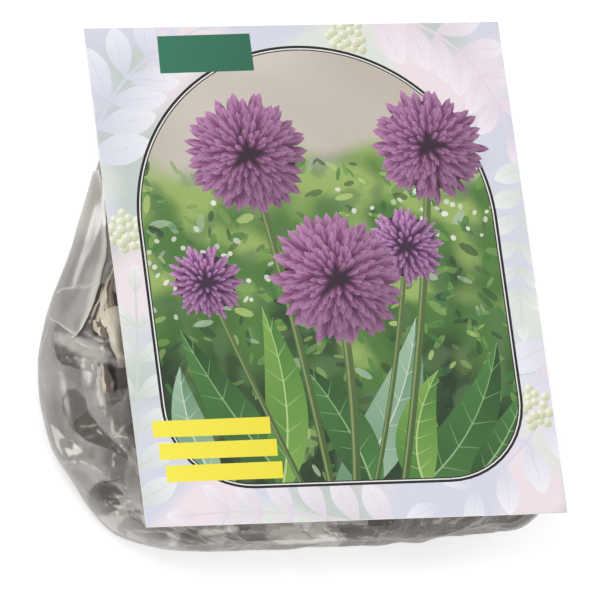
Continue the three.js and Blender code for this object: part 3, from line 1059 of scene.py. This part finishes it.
# Where the film lies on a bulb and over shade inside the bag: clearer there, and painted dark as painted
# shade. As outlines,
#  each with how strong it is.
CLEAR_AND_SHADE_PATCHES = [
    ([(10, 94), (18, 90.5), (21, 87.5), (24.5, 85), (23.5, 83), (21.5, 81), (19, 82),
      (15.5, 84), (12.5, 87), (11.5, 90.5)], 1.0),
    ([(23, 92.5), (24.5, 95.5), (25.5, 98.5), (26.5, 99), (29.5, 96.5), (31, 94), (32.5, 90.5),
      (35, 89.5), (35, 85.5), (31, 88), (28.5, 90), (26, 91)], 0.85),
    ([(34, 79), (41, 79), (41.5, 73), (37, 67.5), (33.5, 65), (33, 70)], 0.8),
    ([(16, 74.5), (19.5, 74), (22.5, 69), (23, 64), (25.5, 58.5), (30.5, 52), (32.5, 47), (32, 45),
      (29.5, 46.5), (24.5, 50), (18.5, 54), (13.5, 61.5), (11.5, 67.5), (13, 72)], 1.0),
    ([(4, 37), (18.5, 38), (19, 29), (15, 32.5), (15, 27), (8, 25), (-6, 27.5), (-10, 31), (-7, 35)], 1.0),
    ([(25.5, 46), (31.5, 45), (27, 38), (23.5, 32.5), (20.5, 36)], 0.45),
    ([(14.5, 24), (17.5, 22), (8.5, 16.5), (11.5, 21.5)], 0.7),
    ([(6.5, 16), (10.5, 11.5), (-4.5, 8.5), (-7, 12)], 0.7),
    ([(12, 9.5), (37, 12), (20, 8.5), (12.5, 0.5), (-22, 4), (-14.5, 8), (7, 8)], 0.8),
    ([(56, 17), (76, 17), (66, 10.5), (57, 11.5)], 0.7),
    ([(-58, 2), (-92, 2.5), (-95, 6), (-60, 5.5)], 0.8),
    ([(107, 19), (217, 21), (217, -1), (107, -1)], 1.0),
    ([(-107, -1), (-217, -1), (-217, 9), (-160, 10), (-107, 8)], 0.9),
]
# Where the film is creased white all over and painted with highlights, as outlines, each with how strong it
# is.
WHITE_AND_HIGHLIGHT_PATCHES = [
    ([(8.5, 98), (20.5, 94), (28.5, 88.5), (35.5, 84), (32.5, 80), (25, 85), (17, 91.5), (9.5, 95)], 0.3),
    ([(24, 85), (31, 80.5), (31.5, 76.5), (29.5, 69), (31, 63), (33.5, 56.5), (37.5, 54), (36, 50),
      (31.5, 47.5), (30, 53), (25, 60), (23, 68.5), (21.5, 77)], 0.15),
    ([(7, 99), (11.5, 91), (13.5, 86.5), (18.5, 82.5), (21.5, 80.5), (20.5, 75), (14.5, 74), (8.5, 67.5),
      (2.5, 73), (0, 85)], 0.06),
    ([(3, 63.5), (6.5, 61), (10, 57.5), (9, 56.5), (5, 57.5), (1, 52), (0.5, 55.5), (1, 59)], 0.55),
    ([(13.5, 54.5), (16, 49.5), (9.5, 50), (5, 50.5), (5, 54), (10, 52)], 0.75),
    ([(30.5, 79), (32, 79), (31, 70), (31.5, 64.5), (29, 65.5), (29, 72)], 0.55),
    ([(36, 50.5), (38, 48.5), (37.5, 40.5), (34, 31.5), (32, 34), (33.5, 41.5), (34.5, 47)], 0.35),
    ([(2, 48.5), (14, 46.5), (18, 43.5), (20.5, 39), (6.5, 37.5), (-4, 37.5), (-6, 42), (-4, 47.5)], 0.16),
    ([(37.5, 52), (36, 43), (32, 36), (24, 25.5), (17.5, 22), (19.5, 28), (27, 37.5), (31, 43.5)], 0.1),
    ([(-8.5, 29), (10.5, 26), (9.5, 23), (-5, 21.5), (-8.5, 19.5), (-9, 24)], 0.35),
    ([(1, 19.5), (-2, 13), (-8.5, 14.5), (-8.5, 18.5)], 0.3),
    ([(10, 11.5), (14.5, 10), (8.5, 8.5), (-0.5, 7), (-3.5, 8), (7, 10.5)], 0.35),
    ([(27, 10.5), (57.5, 16.5), (59, 14), (42.5, 11), (19, 8)], 0.6),
    ([(27, 8.5), (43.5, 10.5), (43, 9.5), (20, 2), (15, 0.5), (18, 5)], 0.35),
    ([(60, -1), (66.5, 10.5), (79.5, 15), (101.5, 15), (100, -1)], 0.5),
    ([(-60, -1), (-95, -1), (-93, 2.5), (-62, 2)], 0.3),
]
# Where dry leaf bases lie pressed against the film, which shows them through.
PRESSED_PATCHES = [
    [(27, 98), (27.5, 108), (29.5, 121), (34, 121), (38, 108), (40, 95), (41, 82), (36, 82),
     (33.5, 90), (29, 91)],
    [(31, 70), (31, 80.5), (37, 80), (37, 70)],
]

# Where the bag's outline is drawn in: the spot on the card, how far it moves, and how far round it others do.
PULLS = [((4, 6), (2.2, 1.0), 20), ((-17, 23), (2.8, 0.6), 13), ((136, 0), (-0.5, 2.8), 18)]
# Crumples of three sizes: spacing, height, seed, how much calmer they are where the folds of the list above
#  show, and how far their facets differ in tone, a painted light and shade of each facet.
CRUMPLES = [(21, 1.3, 5, 0.4, 0.6), (9, 0.6, 6, 0.75, 0.5), (4, 0.14, 7, 0.9, 0.1)]

places, normals = corners_of(bag), normals_of(bag)
spots = film_places(bag)
round_bag, up_bag = spots.T
# 1 on the film that shows beside the card and below it, to 0 on what is hidden or turned away.
upper_side = step(round_bag - LEFT_UNDER, 0, 8)
shown = step(LEFT_OVER - round_bag, 0, 8) * upper_side * step(LEFT_TOP - up_bag, 0, 10)
shown = np.maximum(shown, step(30 - up_bag, 0, 8) * upper_side)
# Facets are painted lighter and darker as painted light and shade; folds are whitened and painted with
# highlights.
crumples, whitened_and_highlit, facets = (np.zeros(len(places)) for _ in range(3))
for spacing, depth, seed, calmer, painted_facet_light in CRUMPLES:
    heights, white_and_highlight, tones = crumple(round_bag % FILM_ROUND, up_bag, spacing, depth, seed)
    crumples += heights * (1 - calmer * shown)
    whitened_and_highlit = np.maximum(whitened_and_highlit, white_and_highlight * min(spacing / 16, 1) * (1 - 0.85 * shown))
    facets += tones * painted_facet_light * (1.7 - 0.7 * shown)
for line, height, reach, white_and_highlight in FOLDS:
    gap, where = distance_to_line(spots, line)
    fade = np.sin(np.clip(where, 0.02, 0.98) * math.pi) ** 0.4
    crumples += height * np.clip(1 - gap / reach, 0, 1) * fade
    broken = np.clip(0.65 + 0.5 * swell(places, 2.5, 77), 0.1, 1)
    whitened_and_highlit = np.maximum(whitened_and_highlit, 0.7 * white_and_highlight * np.exp(-(gap / 0.55) ** 2) * fade * broken)
for corners, most in WHITE_AND_HIGHLIGHT_PATCHES:
    ragged = inside_of(spots, corners) + 0.25 * swell(places, 2.2, 78)
    whitened_and_highlit = np.maximum(whitened_and_highlit, most * step(ragged, -0.3, 0.3))
# Clear: the film clearer there and painted dark, as painted shade.
clear = np.zeros(len(places))
for corners, most in CLEAR_AND_SHADE_PATCHES:
    ragged = inside_of(spots, corners) + 0.25 * swell(places, 3, 79)
    clear = np.maximum(clear, most * step(ragged, -0.3, 0.3))
pressed = step(np.max([inside_of(spots, corners) for corners in PRESSED_PATCHES], axis=0), -1.0, 1.0)
loose = step(SEAL_START - (places[:, 1] - card_origin[1]), 0, 10) * step(up_bag, 1, 6)
outline = outline_share(spots)
near_foot = step(FOOT_BELOW - up_bag, 0, 12)
crumples += outline * (0.2 + 1.2 * near_foot - 0.7 * crumples)
places = places + normals * (crumples * loose)[:, None]
for spot, pull, reach in PULLS:
    apart = np.linalg.norm(places[:, :2] - card_origin[:2] - spot, axis=1)
    places[:, :2] += pull * np.exp(-(apart / reach) ** 2)[:, None]
underside = card_underside - (places[:, 1] - card_origin[1]) * math.tan(CARD_SLOPE)
under_card = (places[:, 0] > card_origin[0] - 1) & (places[:, 0] < card_origin[0] + CARD_WIDTH + 1)
places[:, 2] = np.where(under_card, np.minimum(places[:, 2], underside - 0.4), places[:, 2])
places[:, 2] = np.maximum(places[:, 2], 0.05)
foot = up_bag < 0.1
places[foot, 2] = (bag_top(BAG_START) + bag_back(BAG_START)) / 2
move_corners(bag, places)
film_corners, film_normals = places, normals_of(bag)

# The film is clearer, and painted dark as painted shade, where it lies on a bulb, on its hidden sides and
# along its
#  outline; on its hidden sides it is pressed against the bulb there.
trees = [BVHTree.FromObject(bulb, bpy.context.evaluated_depsgraph_get()) for bulb in bulbs]
gaps = np.array([min(tree.find_nearest(Vector(place))[3] for tree in trees) for place in places * MM]) / MM
touching = step(3.5 - gaps, 0, 2.5)
clear = np.maximum.reduce([clear, 0.75 * touching, 0.3 * (1 - shown), 0.5 * outline * shown])
pressed = np.maximum(pressed, 0.5 * touching * (1 - shown))
# These store the film's painted shade (clear), its whitening with painted highlights and its facets' painted
# light and shade.
for name, values in (("clear", clear), ("whitened_and_highlit", whitened_and_highlit), ("facets", facets), ("pressed", pressed)):
    keep(bag, name, values)

# The welded foot and head: the two layers become one line.
edit_alone(bag)
bpy.ops.mesh.select_non_manifold(extend=False)
bpy.ops.mesh.remove_doubles(threshold=0.1 * MM)
bpy.ops.object.mode_set(mode="OBJECT")

# The film's places, for what lies on it or under it.
finder = KDTree(len(spots))
for index, spot in enumerate(spots):
    finder.insert((*spot, 0), index)
finder.balance()


def on_film(round_bag, up_bag, smooth=60):
    """Places on the film, each the mean of its nearest corners, and which way the film faces there."""
    nearest = [[found[1] for found in finder.find_n((*spot, 0), smooth)] for spot in zip(round_bag, up_bag)]
    facing = film_normals[nearest].mean(1)
    return film_corners[nearest].mean(1), facing / np.linalg.norm(facing, axis=1)[:, None]


# A loose fold of the film lies over its left side: smooth, with a straight free edge that ends in a point.
FLAP_START, FLAP_END = 92, 158
FLAP_EDGE = [(92, 23), (94, 25), (97.5, 26.5), (103.5, 28), (110.5, 28.5), (121, 26.5),
             (129.5, 23), (137.5, 18), (147.5, 12), (158, 5)]  # up the film, and round it
FLAP_OUTSIDE = [(92, 23), (95.5, 18.5), (100.5, 11), (105.5, -1), (109, -3), (158, -3)]
FLAP_CREASE = [(3, 113.5), (7, 114.5), (14, 115), (20, 112.5), (25, 111)]  # round the film, and up it
FLAP_COLUMNS, FLAP_ROWS = 34, 76
FLAP_LIFT = 1.5
FLAP_TUCK = 1.2  # its strip is this much wider than the flap, and the rest is tucked under

up_flap = np.repeat(np.linspace(FLAP_START, FLAP_END, FLAP_ROWS + 1), FLAP_COLUMNS + 1)
over = np.tile(np.linspace(0, FLAP_TUCK, FLAP_COLUMNS + 1), FLAP_ROWS + 1)
inner, outer = np.interp(up_flap, *zip(*FLAP_EDGE)), np.interp(up_flap, *zip(*FLAP_OUTSIDE))
width = inner - outer
round_flap = np.where(over <= 1, outer + width * over, inner - (over - 1) * 14)
under_flap, facing = on_film(round_flap, up_flap, smooth=260)
lift = FLAP_LIFT * step(over, -0.2, 0.5) + 0.7 * step(over, 0.7, 1.0) - 1.6 * step(over, 1.0, 1.1)
lift = lift + 0.12 * np.sin(up_flap / 7 + 3 * over) * np.minimum(over, 1)
flap = new_grid(FLAP_COLUMNS, FLAP_ROWS, under_flap + facing * lift[:, None])
keep_film_place(flap, round_flap / FILM_ROUND * 2 * math.pi, up_flap / FILM_LENGTH)
# The flap's free edge, its point and its crease are whitened, with painted highlights along them, and its
# upper end is milky.
free_edge = np.exp(-((over - 0.95) * width / 1.5) ** 2)
point_edge = np.exp(-(over * width / 1.1) ** 2) * step(106 - up_flap, 0, 2)
crease_gap, _ = distance_to_line(np.stack([round_flap, up_flap], 1), FLAP_CREASE)
milky = 0.3 * step(up_flap + 2 * swell(under_flap, 6, 80), 130, 137)
crease = np.exp(-(crease_gap / 0.4) ** 2)
keep(flap, "whitened_and_highlit", np.maximum.reduce([0.65 * free_edge, 0.5 * point_edge, 0.5 * crease, milky]))
edit_alone(flap)
bpy.ops.mesh.select_all(action="SELECT")
bpy.ops.mesh.remove_doubles(threshold=0.05 * MM)
bpy.ops.mesh.normals_make_consistent(inside=False)
bpy.ops.object.mode_set(mode="OBJECT")
join_to(bag, [flap])

# Six round vents in the back of the bag, each punched through one layer.
VENT_RADIUS = 3
VENTS = [(x, y) for y in (118, 142) for x in (45, 80, 115)]


def back_faces_near_vents(reach):
    """Faces of the back whose middle is within reach of a vent's middle."""
    middles = np.array([face.center for face in bag.data.polygons]) / MM - card_origin
    back = np.array([face.normal.z for face in bag.data.polygons]) < -0.3
    apart = np.min([np.hypot(middles[:, 0] - x, middles[:, 1] - y) for x, y in VENTS], axis=0)
    return back & (apart < reach)


for cuts in (1, 2):
    select_only(bag, "FACE", back_faces_near_vents(VENT_RADIUS + 2))
    bpy.ops.mesh.subdivide(number_cuts=cuts)
    bpy.ops.object.mode_set(mode="OBJECT")
select_only(bag, "FACE", back_faces_near_vents(VENT_RADIUS))
bpy.ops.mesh.delete(type="FACE")
bpy.ops.object.mode_set(mode="OBJECT")
edit_alone(bag)
bpy.ops.mesh.select_non_manifold(extend=False)
bpy.ops.object.mode_set(mode="OBJECT")
places = corners_of(bag)
rims = np.array([corner.select for corner in bag.data.vertices])
for x, y in VENTS:
    from_middle = places[:, :2] - card_origin[:2] - (x, y)
    apart = np.linalg.norm(from_middle, axis=1)
    rim = rims & (apart < VENT_RADIUS + 1.5)
    places[rim, :2] += from_middle[rim] * (VENT_RADIUS / apart[rim] - 1)[:, None]
move_corners(bag, places)

# Clear polypropylene film: cast, with a wet gloss on both faces. It is milky grey where it is slack, its
# facets
#  painted lighter and darker as painted light and shade; clearer where it lies on a bulb and over shade
#  inside the bag, and painted dark there as painted shade; hardly seen where it is pressed against one; and
#  whitened along its sharp creases, with painted highlights on them.
material, tree, shader = new_material("cast_polypropylene_film")
place = add_node(tree, "ShaderNodeTexCoord", {}, {})
# The clear attribute makes the film clearer and, below, paints it dark as painted shade.
near = add_node(tree, "ShaderNodeAttribute", {"attribute_name": "clear"}, {})
white_and_highlight = add_node(tree, "ShaderNodeAttribute", {"attribute_name": "whitened_and_highlit"}, {})
against = add_node(tree, "ShaderNodeAttribute", {"attribute_name": "pressed"}, {})
cloud = add_node(tree, "ShaderNodeTexNoise", {},
                 {"Vector": place.outputs["Object"], "Scale": 35.0, "Detail": 1.5, "Distortion": 0.8})
# The facets attribute: each facet's painted light and shade.
painted_facet_shading = add_node(tree, "ShaderNodeAttribute", {"attribute_name": "facets"}, {})
milk_and_facet_shading = add_node(tree, "ShaderNodeMath", {"operation": "MULTIPLY_ADD"},
                {0: painted_facet_shading.outputs["Fac"], 1: 0.2, 2: cloud.outputs["Fac"]})
haze = add_node(tree, "ShaderNodeMapRange", {},
                {"Value": milk_and_facet_shading.outputs["Value"], "From Min": 0.3, "From Max": 0.7,
                 "To Min": 0.6, "To Max": 0.86})
open_film = add_node(tree, "ShaderNodeMix", {"data_type": "FLOAT"},
                     {"Factor": near.outputs["Fac"], "A": haze.outputs["Result"], "B": 0.67})
wet_film = add_node(tree, "ShaderNodeMix", {"data_type": "FLOAT"},
                    {"Factor": against.outputs["Fac"], "A": open_film.outputs["Result"], "B": 0.14})
alpha = add_node(tree, "ShaderNodeMix", {"data_type": "FLOAT"},
                 {"Factor": white_and_highlight.outputs["Fac"], "A": wet_film.outputs["Result"], "B": 0.95})
slack_film_and_facet_shading = add_node(tree, "ShaderNodeMix", {"data_type": "RGBA"},
                 {"Factor": milk_and_facet_shading.outputs["Value"], "A": solid("#86827f"), "B": solid("#b3ada5")})
# Painted shade: the clear attribute turns the film dark #5c554e, for the bulbs and shade inside the bag.
tone = add_node(tree, "ShaderNodeMix", {"data_type": "RGBA"},
                {"Factor": near.outputs["Fac"], "A": slack_film_and_facet_shading.outputs["Result"], "B": solid("#5c554e")})
# Whitened creases with painted highlights: cream #e6e1d7, nearly opaque.
creased_and_highlit = add_node(tree, "ShaderNodeMix", {"data_type": "RGBA"},
                   {"Factor": white_and_highlight.outputs["Fac"], "A": tone.outputs["Result"], "B": solid("#e6e1d7")})
set_inputs(tree, shader, {"Base Color": creased_and_highlit.outputs["Result"], "Alpha": alpha.outputs["Result"],
                          "Roughness": 0.2, "IOR": 1.49, "Specular IOR Level": 1.0})
bag.data.materials.append(material)
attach(bag, "root")
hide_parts("film_bag")


# ---- Papery leaf bases --------------------------------------------------------------------------------
# What the first bulb has kept of its leaves: flat dry strips, thin as paper, cream with brown between them.
# They rise from its neck, taper, and lie pressed against the inside of the film beside the card.
LEAF_BASES = [  # start, bend and end on the film, width, depth under the film, and age: 0 cream, 1 brown
    ((33.5, 101.5), (37.5, 93), (40, 79), 8.0, 1.0, 0.05),
    ((31.5, 98), (29, 109), (31, 124), 2.0, 0.9, 0.1),
    ((35, 98.5), (31, 102), (30, 111), 1.7, 1.1, 0.2),
    ((29.5, 97), (30.5, 103.5), (30, 110), 1.4, 1.3, 0.25),
    ((27, 99), (27.5, 104), (28.5, 110), 1.3, 1.0, 0.1),
    ((35, 97), (34, 106), (32.5, 118), 4.4, 2.2, 0.55),
    ((31, 92), (30.5, 106), (30, 122), 5.6, 3.0, 0.95),
    ((32, 90), (29.5, 95), (29, 102), 4.8, 2.0, 0.7),
    ((28.5, 97.5), (29, 95), (30.5, 93), 1.0, 1.2, 0.15),
    ((31, 94.5), (31, 92.5), (32, 91), 0.9, 1.2, 0.15),
    ((32, 70), (32.5, 76), (32, 81), 1.7, 1.0, 0.15),
    ((35, 69), (35, 75), (34, 81), 4.4, 2.0, 0.8),
]
LEAF_ROWS, LEAF_COLUMNS = 40, 8
LEAF_THICKNESS = 0.12

strips = []
for number, (start, bend, end, width, depth, age) in enumerate(LEAF_BASES):
    path = bent(start, bend, end, LEAF_ROWS + 1)
    _, side = ways_of(path)
    share = np.repeat(np.linspace(0, 1, LEAF_ROWS + 1), LEAF_COLUMNS + 1)
    across = np.tile(np.linspace(-1, 1, LEAF_COLUMNS + 1), LEAF_ROWS + 1)
    middle, side = np.repeat(path, LEAF_COLUMNS + 1, 0), np.repeat(side, LEAF_COLUMNS + 1, 0)
    taper = 1 - 0.75 * share ** 2
    ragged = 0.3 * swell(np.stack([across * 3, middle[:, 1], 0 * across], 1), 2.6, 70 + number)
    flat = middle + side * (across * (taper * width / 2 + ragged))[:, None]
    film, facing = on_film(*flat.T)
    curl = 0.14 * width * across ** 2 + 0.35 * swell(film, 4, 90 + number)
    strip = new_grid(LEAF_COLUMNS, LEAF_ROWS, film - facing * (depth + np.maximum(curl, -0.3))[:, None])
    keep(strip, "age", np.full(len(share), age))
    length = np.linalg.norm(np.subtract(end, start))
    keep(strip, "fibre", np.stack([across * width / 2, share * length, np.full(len(share), 9.0 * number)], 1))
    strips.append(strip)
leaf_bases = strips[0]
join_to(leaf_bases, strips[1:])
apply_modifier(leaf_bases, "SOLIDIFY", thickness=LEAF_THICKNESS * MM, offset=0.0)
leaf_bases.name = leaf_bases.data.name = "papery_leaf_bases"

# Dry leaf tissue: matt and papery, with fibres half a millimetre apart along each strip.
material, tree, shader = new_material("dry_leaf_tissue")
fibre = add_node(tree, "ShaderNodeAttribute", {"attribute_name": "fibre"}, {})
aged = add_node(tree, "ShaderNodeAttribute", {"attribute_name": "age"}, {})
turned = add_node(tree, "ShaderNodeVectorMath", {"operation": "MULTIPLY"},
                  {0: fibre.outputs["Vector"], 1: (2.0, 0.18, 1.0)})
threads = add_node(tree, "ShaderNodeTexNoise", {},
                   {"Vector": turned.outputs["Vector"], "Scale": 1.0, "Detail": 3.0})
tone_of_age = add_node(tree, "ShaderNodeMath", {"operation": "MULTIPLY_ADD"},
                       {0: threads.outputs["Fac"], 1: 0.5, 2: aged.outputs["Fac"]})
tones = add_node(tree, "ShaderNodeValToRGB", {}, {"Fac": tone_of_age.outputs["Value"]})
set_tones(tones, [(0.2, "#f8f0de"), (0.45, "#e2d3b8"), (0.8, "#a68f76"), (1.0, "#6b5a4b")])
relief = add_node(tree, "ShaderNodeBump", {},
                  {"Height": threads.outputs["Fac"], "Strength": 0.6, "Distance": 0.4 * MM})
set_inputs(tree, shader, {"Base Color": tones.outputs["Color"], "Normal": relief.outputs["Normal"],
                          "Roughness": 0.62})
leaf_bases.data.materials.append(material)
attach(leaf_bases, "root")


# ---- Glue strips --------------------------------------------------------------------------------------
# Two strips of double-sided tape, 12 mm wide: a milky film with a coat of acrylic glue on each face. They
# lie between the card and the bag, and hold the bag by its upper film.

# Acrylic glue, coated on and dried: pale straw, with a pebbled face and bubbles about 2 mm apart.
material, tree, shader = new_material("double_sided_acrylic_tape")
place = add_node(tree, "ShaderNodeTexCoord", {}, {})
bubbles = add_node(tree, "ShaderNodeTexVoronoi", {}, {"Vector": place.outputs["Object"], "Scale": 500.0})
pebbles = add_node(tree, "ShaderNodeTexNoise", {},
                   {"Vector": place.outputs["Object"], "Scale": 1400.0, "Detail": 3.0})
tones = add_node(tree, "ShaderNodeMix", {"data_type": "RGBA"},
                 {"Factor": bubbles.outputs["Distance"], "A": solid("#cfc8ad"), "B": solid("#e6e1cf")})
relief = add_node(tree, "ShaderNodeBump", {},
                  {"Height": pebbles.outputs["Fac"], "Strength": 0.3, "Distance": 0.1 * MM})
set_inputs(tree, shader, {"Base Color": tones.outputs["Result"], "Normal": relief.outputs["Normal"],
                          "Roughness": 0.45, "IOR": 1.47})
for name in ("lower_glue_strip", "upper_glue_strip"):
    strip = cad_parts[name]
    for slot in strip.material_slots:
        slot.material = material


# ---- Floor and light ----------------------------------------------------------------------------------
# A light table under soft boxes: white acrylic, lit a little from below, so that shadows on it stay faint.
bpy.ops.object.select_all(action="DESELECT")
bpy.ops.mesh.primitive_plane_add(size=8)
floor = bpy.context.object
floor.name = "floor"
material, tree, shader = new_material("white_acrylic_table")
place = add_node(tree, "ShaderNodeTexCoord", {}, {})
mottle = add_node(tree, "ShaderNodeTexNoise", {},
                  {"Vector": place.outputs["Object"], "Scale": 40.0, "Detail": 2.0})
tones = add_node(tree, "ShaderNodeMix", {"data_type": "RGBA"},
                 {"Factor": mottle.outputs["Fac"], "A": solid("#f9f9f9"), "B": solid("#fdfdfd")})
set_inputs(tree, shader, {"Base Color": tones.outputs["Result"], "Roughness": 0.9,
                          "Emission Color": solid("#ffffff"), "Emission Strength": 0.3})
floor.data.materials.append(material)

SOFT_BOXES = [  # place, width in metres and power in watts
    ("key", (-1.6, 0.9, 3.4), 1.7, 56),
    ("fill", (1.4, -2.4, 2.4), 1.8, 34),
    ("side", (-2.2, -1.0, 0.9), 0.7, 9),
]
for name, spot, width, power in SOFT_BOXES:
    light = bpy.data.lights.new(name, "AREA")
    light.size, light.energy = width, power
    lamp = bpy.data.objects.new(name, light)
    bpy.context.collection.objects.link(lamp)
    lamp.matrix_world = (Matrix.Translation(spot)
                         @ Vector(spot).to_track_quat("Z", "Y").to_matrix().to_4x4())
world = bpy.data.worlds.new("studio")
world.use_nodes = True
set_inputs(world.node_tree, world.node_tree.nodes["Background"], {"Color": solid("#f4f5f8"), "Strength": 0.6})
bpy.context.scene.world = world
bpy.context.scene.view_settings.view_transform = "Standard"
